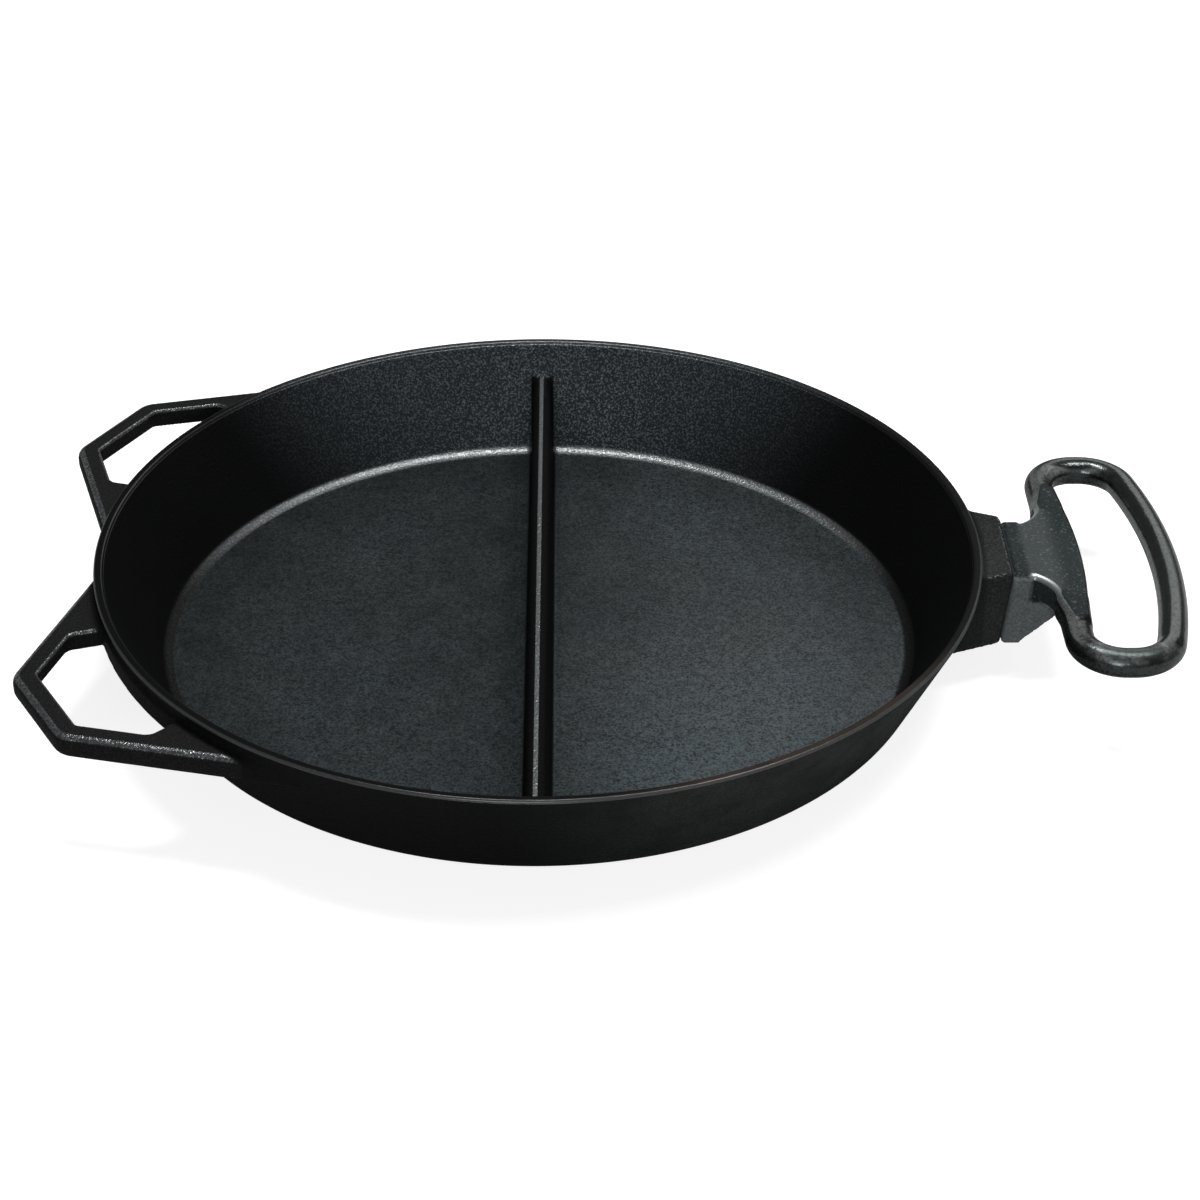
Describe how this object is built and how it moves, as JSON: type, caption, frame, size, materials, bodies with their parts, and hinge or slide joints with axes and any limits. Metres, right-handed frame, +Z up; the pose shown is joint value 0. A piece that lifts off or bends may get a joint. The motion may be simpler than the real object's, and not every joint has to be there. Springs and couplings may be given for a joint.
{
  "type": "divided frying pan",
  "caption": "Wide cast-iron frying pan with a low divider across the middle, two open lugs at one side and a bolted-on D-shaped loop handle at the other.",
  "frame": {"origin": "on the pan's axis, at the underside of its base", "axes": "+Z up along the pan's axis, +X towards the loop handle, Y along the divider"},
  "size_m": [0.5899, 0.4582, 0.062],
  "materials": {
    "pan_iron": "seasoned black, pebbled",
    "handle_iron": "seasoned black, rubbed smooth",
    "bolt_steel": "dark oxide"
  },
  "bodies": {
    "root": {"pan_casting": "pan_iron", "handle_casting": "handle_iron", "handle_bolts": "bolt_steel"}
  },
  "joints": []
}
